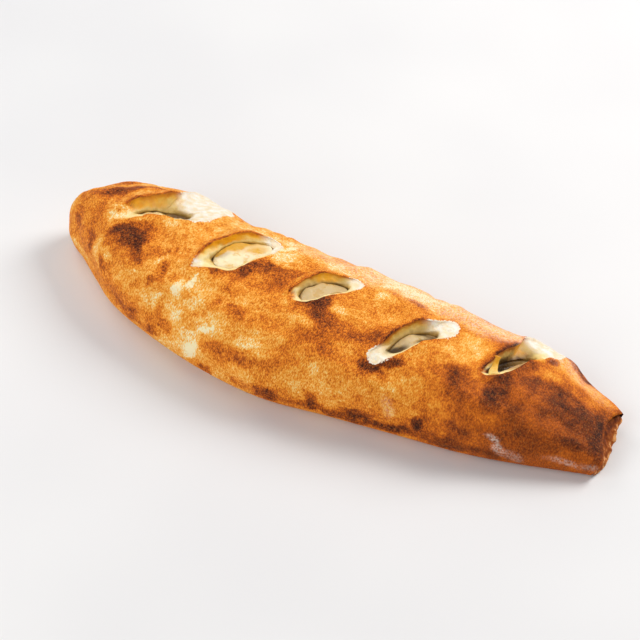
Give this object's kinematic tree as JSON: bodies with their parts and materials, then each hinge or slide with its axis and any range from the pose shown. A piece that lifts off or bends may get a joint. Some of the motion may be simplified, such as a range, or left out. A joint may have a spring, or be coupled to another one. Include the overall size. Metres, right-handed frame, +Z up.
{
  "type": "baked stromboli",
  "caption": "Long baked stromboli, rounded at one end and pinched and torn at the other, with raised slanting slashes that show melted cheese.",
  "frame": {"origin": "middle of the footprint, on the surface that the log rests on", "axes": "+X along the log, from its rounded end to its pinched end; +Z up; its front, the side the picture shows, is at -Y"},
  "size_m": [0.3717, 0.1138, 0.0554],
  "materials": {
    "crust": "baked golden-brown dough, matte, with darker toasted patches and paler spots, and cream-coloured cut edges at the slashes",
    "filling": "melted pale yellow cheese, glossy with oil"
  },
  "bodies": {
    "root": {"crust": "crust", "filling": "filling"}
  },
  "joints": []
}
